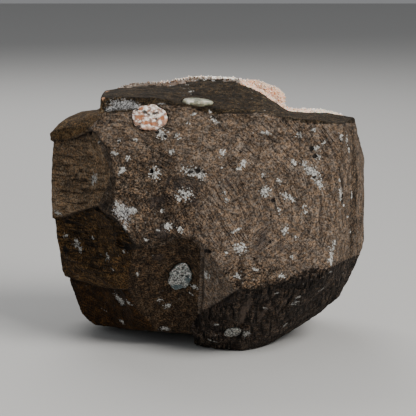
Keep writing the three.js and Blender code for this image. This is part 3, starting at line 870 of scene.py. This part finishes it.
def basalt_finish():
    finish, tree, place, surface = new_finish("hewn basalt")
    tint = read(tree, "tint", "Color")
    rake = read(tree, "rake", "Vector")
    marks = parts_of(tree, rake)
    grain = noise(tree, place, 1300, 3.0, 0.75)
    combed = noise(tree, stretched(tree, rake, COLOURED_MARKS), 1.0, 2.0, 0.6)
    raked = times(tree, ramp(tree, combed, 0.32, 0.56, -0.5, 0.18), marks[2])
    colour = grained(tree, place, tint, grain, raked)
    colour = stained_and_shadowed(tree, place, colour)
    colour = specked(tree, place, colour)
    colour = frosted(tree, place, grain, colour)
    torn = wavering(tree, place, 900, 5.0, 0.65)
    colour, fill = filled(tree, place, torn, colour)
    for mark, tear, low, high, strength in (
        # painted shade in creases and cracks, and painted shadow under overhangs
        ("groove", 2.2, -0.1, 0.9, 0.72),
        ("worn", 1.6, -0.3, 0.5, 0.7),
        ("rosy", 1.0, 0.1, 0.5, 0.8),
        # painted shade in the open pits, and painted shadow along the ledges
        ("socket", 1.5, -0.12, 0.12, 0.96),
    ):
        share = torn_mark(tree, mark, torn, tear, low, high)
        colour = coated(tree, colour, share, strength, BASALT[mark])
    height = plus(tree, times(tree, grain, 0.5), times(tree, raked, 1.2))
    height = plus(tree, height, times(tree, fill, 0.3))
    set_looks(tree, surface, {
        "Base Color": colour,
        "Roughness": ramp(tree, grain, 0.3, 0.7, 0.78, 0.95),
        "Specular IOR Level": 0.12,
        "Normal": bumped(tree, height, 0.8 * MM, 0.9),
    })
    return finish


def make_rock():
    rock = rock_mesh()
    mark_rock(rock.data)
    run_maker(rock, roughness_maker(basalt_finish()), ROUGHNESS)
    rock.data.shade_smooth()
    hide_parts("basalt_matrix")
    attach(rock, "root")


# The crystal lining


def coffin_crystal():
    """One coffin-shaped plate, a unit long, standing on its foot."""
    shape = bmesh.new()
    rings = []
    for aside, narrow in ((-0.5, 0.85), (0.5, 1.0)):
        ring = []
        for x, z in COFFIN_OUTLINE:
            place = (x * narrow, aside, COFFIN_WIDEST + (z - COFFIN_WIDEST) * narrow)
            ring.append(shape.verts.new(place))
        rings.append(ring)
    foot, top = rings
    for corner in range(len(foot)):
        after = (corner + 1) % len(foot)
        shape.faces.new((foot[corner], foot[after], top[after], top[corner]))
    shape.faces.new(foot[::-1])
    shape.faces.new(top)
    bmesh.ops.recalc_face_normals(shape, faces=shape.faces)
    mesh = bpy.data.meshes.new("coffin crystal")
    shape.to_mesh(mesh)
    shape.free()
    return new_piece("coffin_crystal", mesh)


def crystal_maker(finish, crystal, where, sizes):
    tree, given = new_maker("Crystals on the " + where, sizes)
    sown = {
        "Mesh": given["Geometry"], "Selection": named(tree, where, "BOOLEAN"),
        "Density": given["Per square metre"], "Seed": 11,
    }
    spread = add(tree, "GeometryNodeDistributePointsOnFaces", sown).outputs
    outward = {"Vector": spread["Normal"]}
    upright = add(tree, "FunctionNodeAlignRotationToVector", outward, axis="Z").outputs[0]
    swing = add(tree, "ShaderNodeCombineXYZ", {0: given["Tilt"], 1: given["Tilt"], 2: math.pi}).outputs[0]
    swings = {0: stretched(tree, swing, (-1, -1, -1)), 1: swing, "Seed": 12}
    turned = add(tree, "FunctionNodeRandomValue", swings, data_type="FLOAT_VECTOR").outputs[0]
    spun = add(tree, "FunctionNodeEulerToRotation", {"Euler": turned}).outputs[0]
    turns = {"Rotation": upright, "Rotate By": spun}
    stance = add(tree, "FunctionNodeRotateRotation", turns, rotation_space="LOCAL").outputs[0]
    lengths = {"Min": given["Least"], "Max": given["Most"], "Seed": 13}
    length = add(tree, "FunctionNodeRandomValue", lengths, data_type="FLOAT").outputs[1]
    thick = times(tree, length, given["Thickness"])
    size = add(tree, "ShaderNodeCombineXYZ", {0: length, 1: thick, 2: length}).outputs[0]
    plate = add(tree, "GeometryNodeObjectInfo", {"Object": crystal}).outputs["Geometry"]
    plates = {"Points": spread["Points"], "Instance": plate, "Rotation": stance, "Scale": size}
    planted = add(tree, "GeometryNodeInstanceOnPoints", plates).outputs[0]
    shade = add(tree, "FunctionNodeRandomValue", {"Seed": 14}, data_type="FLOAT").outputs[1]
    shades = {"Geometry": planted, "Name": "shade", "Value": shade}
    kinds = {"data_type": "FLOAT", "domain": "INSTANCE"}
    tagged = add(tree, "GeometryNodeStoreNamedAttribute", shades, **kinds).outputs[0]
    both = add(tree, "GeometryNodeJoinGeometry")
    tree.links.new(given["Geometry"], both.inputs[0])
    tree.links.new(tagged, both.inputs[0])
    end_maker(tree, both.outputs[0], finish)
    return tree


def crust_dust(tree, place):
    """How dusty the crust is: at the rim's left end, and down its outer slope as far as the heap."""
    dust = ramp(tree, plus(tree, read(tree, "dust"), noise(tree, place, 420)), 1.1, 1.5)
    across, depth, height = parts_of(tree, place)
    ragged = times(tree, wavering(tree, place, 300), 4 * MM)
    outer = ramp(tree, plus(tree, depth, ragged), OUTER_SLOPE["clean"], OUTER_SLOPE["dusty"])
    outer = times(tree, outer, ramp(tree, across, OUTER_SLOPE["right end"], OUTER_SLOPE["fades from"]))
    outer = times(tree, outer, ramp(tree, height, OUTER_SLOPE["foot"], OUTER_SLOPE["top"]))
    return maths(tree, "MAXIMUM", dust, outer)


def heulandite_finish():
    finish, tree, place, surface = new_finish("pearly heulandite")
    blush = plus(tree, noise(tree, place, 60, 2.0), times(tree, read(tree, "blush"), 0.25))
    warm = blend(tree, ramp(tree, blush, 0.42, 0.75), HEULANDITE["cream"], HEULANDITE["blush"])
    colour = coated(tree, warm, read(tree, "shade"), 0.6, HEULANDITE["white"])
    rust = ramp(tree, noise(tree, place, 190), 0.58, 0.75)
    colour = coated(tree, colour, rust, 0.3, HEULANDITE["rust"])
    colour = coated(tree, colour, crust_dust(tree, place), 0.9, HEULANDITE["dust"])
    set_looks(tree, surface, {
        "Base Color": colour,
        "Roughness": ramp(tree, noise(tree, place, 400), 0.3, 0.7, 0.18, 0.38),
        "IOR": 1.5,
        "Transmission Weight": 0.05,
        "Subsurface Weight": 0.5,
        "Subsurface Radius": (2.0, 1.2, 0.8),
        "Subsurface Scale": 1.2 * MM,
        "Normal": bumped(tree, noise(tree, place, 1400), 0.12 * MM, 0.5),
    })
    return finish


def mark_crust(mesh):
    """Marks the faces of the crust's wall and of its rim, and how warm and how dusty its points are."""
    rock = surface_of("basalt_matrix")
    wall = []
    rim = []
    middles = np.array([face.center for face in mesh.polygons])
    heaped = inside(LIP_HEAP, *picture_places(middles)) & (middles[:, 2] > HEAP_FOOT)
    for face, on_heap in zip(mesh.polygons, heaped):
        place, outward, index, gap = rock.find_nearest(face.center)
        below_joint = (face.center - JOINT_THROUGH).dot(JOINT_OUTWARD)
        bare = gap > BARE_GAP or below_joint > -BARE_MARGIN
        low_lip = face.center.x > LOW_LIP["right of"] and face.center.z > LOW_LIP["above"]
        depth = LOW_LIP["depth"] if low_lip else RIM_DEPTH
        at_rim = bare and (bool(on_heap) or below_joint > -depth)
        at_wall = bare and not at_rim and gap < WALL_THICKEST
        rim.append(at_rim)
        wall.append(at_wall and face.normal.dot(outward) > WALL_FACING)
    for name, chosen in (("wall", wall), ("rim", rim)):
        mesh.attributes.new(name, "BOOLEAN", "FACE").data.foreach_set("value", chosen)
    points = points_of(mesh)
    across, down = picture_places(points)
    warm = inside(LIP_HEAP, across, down) | inside(WARM_RIM_END, across, down)
    keep(mesh, "blush", warm.astype(float) + 1.2 * inside(WARM_HEAP, across, down))
    dusty = inside(DUSTY_RIM, across, down) & (points[:, 2] > DUST_FOOT)
    keep(mesh, "dust", dusty.astype(float))
    keep(mesh, "shade", np.full(len(points), 0.3))


def make_crust():
    crust = merged_copy("heulandite_crust", "heulandite_lining")
    mark_crust(crust.data)
    finish = heulandite_finish()
    crystal = coffin_crystal()
    for where, sizes in (("wall", WALL_CRYSTALS), ("rim", RIM_CRYSTALS)):
        run_maker(crust, crystal_maker(finish, crystal, where, sizes), sizes)
    bpy.data.objects.remove(crystal)
    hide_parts("heulandite_crust")
    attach(crust, "root")


# The four nodules of the front


def nodule_finish(kind):
    finish, tree, place, surface = new_finish(kind["slot"])
    crystal = ramp(tree, cells(tree, place, kind["cells"]), 0.15, 0.75)
    grain = noise(tree, place, kind["cells"] * 1.6, 4.0, 0.65)
    share = plus(tree, times(tree, crystal, 0.5), ramp(tree, grain, 0.35, 0.65, -0.2, 0.9))
    colour = blend(tree, ramp(tree, share, 0.2, 1.0), kind["light"], kind["shade"])
    torn = wavering(tree, place, 900, 4.0, 0.6)
    for mark, strength in (("rim", 0.85), ("patch", 0.97), ("crack", 0.97)):
        spot = torn_mark(tree, mark, torn, 1.8, 0.0, 0.5)
        colour = coated(tree, colour, spot, strength, kind[mark])
    height = plus(tree, times(tree, crystal, -0.6), grain)
    set_looks(tree, surface, {
        "Base Color": colour,
        "Roughness": ramp(tree, grain, 0.3, 0.7, kind["gloss"], kind["gloss"] + 0.25),
        "Subsurface Weight": 0.12,
        "Subsurface Scale": 0.6 * MM,
        "Normal": bumped(tree, height, kind["blades"], 0.9),
    })
    return finish


def bladed(points, chance):
    """A seeded pattern of blades over the points, from crossing waves."""
    waves = 0
    for _ in range(12):
        waves = waves + np.sin(points @ chance.normal(0, 1 / NODULE_BLADE, 3) + chance.uniform(0, 6))
    return waves / 7


def make_nodule(node, kind):
    nodule = merged_copy(node, kind["name"])
    remeshed(nodule, NODULE_GRID)
    mesh = nodule.data
    surface = surface_of(node)
    points = points_of(mesh)
    normals = normals_of(mesh)
    for mark, spots in (("patch", "patches"), ("crack", "cracks"), ("rim", "rims")):
        keep(mesh, mark, depth_in_spots(kind[spots], points, surface))
    chance = np.random.default_rng(3)
    wave = bladed(points, chance)
    middle = points.mean(0)
    around = np.arctan2(points[:, 2] - middle[2], points[:, 0] - middle[0])
    ragged = sum(np.sin(around * turns + chance.uniform(0, 6)) for turns in (2, 3, 5, 8)) / 2
    sunk = np.clip(depth_in_spots(kind["cracks"], points, surface), 0, 1)
    rise = NODULE_GROWTH + kind["blades"] * wave - NODULE_CRACK * sunk
    points += (points - middle) * (kind["ragged"] * ragged)[:, None] + normals * rise[:, None]
    mesh.vertices.foreach_set("co", points.astype(np.float32).ravel())
    mesh.materials.append(nodule_finish(kind))
    mesh.shade_smooth()
    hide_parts(node)
    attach(nodule, "root")


# The studio


def make_camera():
    lens = bpy.data.cameras.new("camera")
    lens.sensor_width = 36
    lens.lens = lens.sensor_width * CAMERA_DISTANCE / (PICTURE_SIDE * PIXEL_AT_AIM)
    lens.clip_start = 0.01
    camera = new_piece("camera", lens)
    camera.location = EYE
    camera.rotation_euler = FORWARD.to_track_quat("-Z", "Y").to_euler()
    bpy.context.scene.camera = camera


def make_floor():
    shape = bmesh.new()
    bmesh.ops.create_grid(shape, x_segments=8, y_segments=8, size=3.0)
    mesh = bpy.data.meshes.new("floor")
    shape.to_mesh(mesh)
    shape.free()
    floor = new_piece("floor", mesh)
    finish, tree, place, surface = new_finish("pale studio floor")
    set_looks(tree, surface, {"Base Color": FLOOR_COLOUR, "Roughness": 0.85})
    mesh.materials.append(finish)


def make_lamp(name, towards, distance, side, power, warmth):
    lamp = bpy.data.lights.new(name, "AREA")
    lamp.size = side
    lamp.energy = power
    lamp.color = warmth
    stand = new_piece(name, lamp)
    direction = Vector(towards).normalized()
    stand.location = CAMERA_AIM + direction * distance
    stand.rotation_euler = (-direction).to_track_quat("-Z", "Y").to_euler()


def make_studio():
    make_camera()
    make_floor()
    for name, lamp in LAMPS.items():
        make_lamp(name, *lamp)
    world = bpy.data.worlds.new("studio air")
    world.use_nodes = True
    back = world.node_tree.nodes["Background"]
    back.inputs["Color"].default_value = AIR_COLOUR
    back.inputs["Strength"].default_value = AIR_STRENGTH
    bpy.context.scene.world = world


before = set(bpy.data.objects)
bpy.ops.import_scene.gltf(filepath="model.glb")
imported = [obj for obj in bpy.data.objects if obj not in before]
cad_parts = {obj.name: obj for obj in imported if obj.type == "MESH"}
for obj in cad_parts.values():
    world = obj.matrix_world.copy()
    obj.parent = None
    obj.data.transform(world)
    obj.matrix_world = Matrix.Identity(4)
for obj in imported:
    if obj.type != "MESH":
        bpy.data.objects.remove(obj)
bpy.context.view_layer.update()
make_studio()
make_rock()
make_crust()
for node, kind in NODULES.items():
    make_nodule(node, kind)
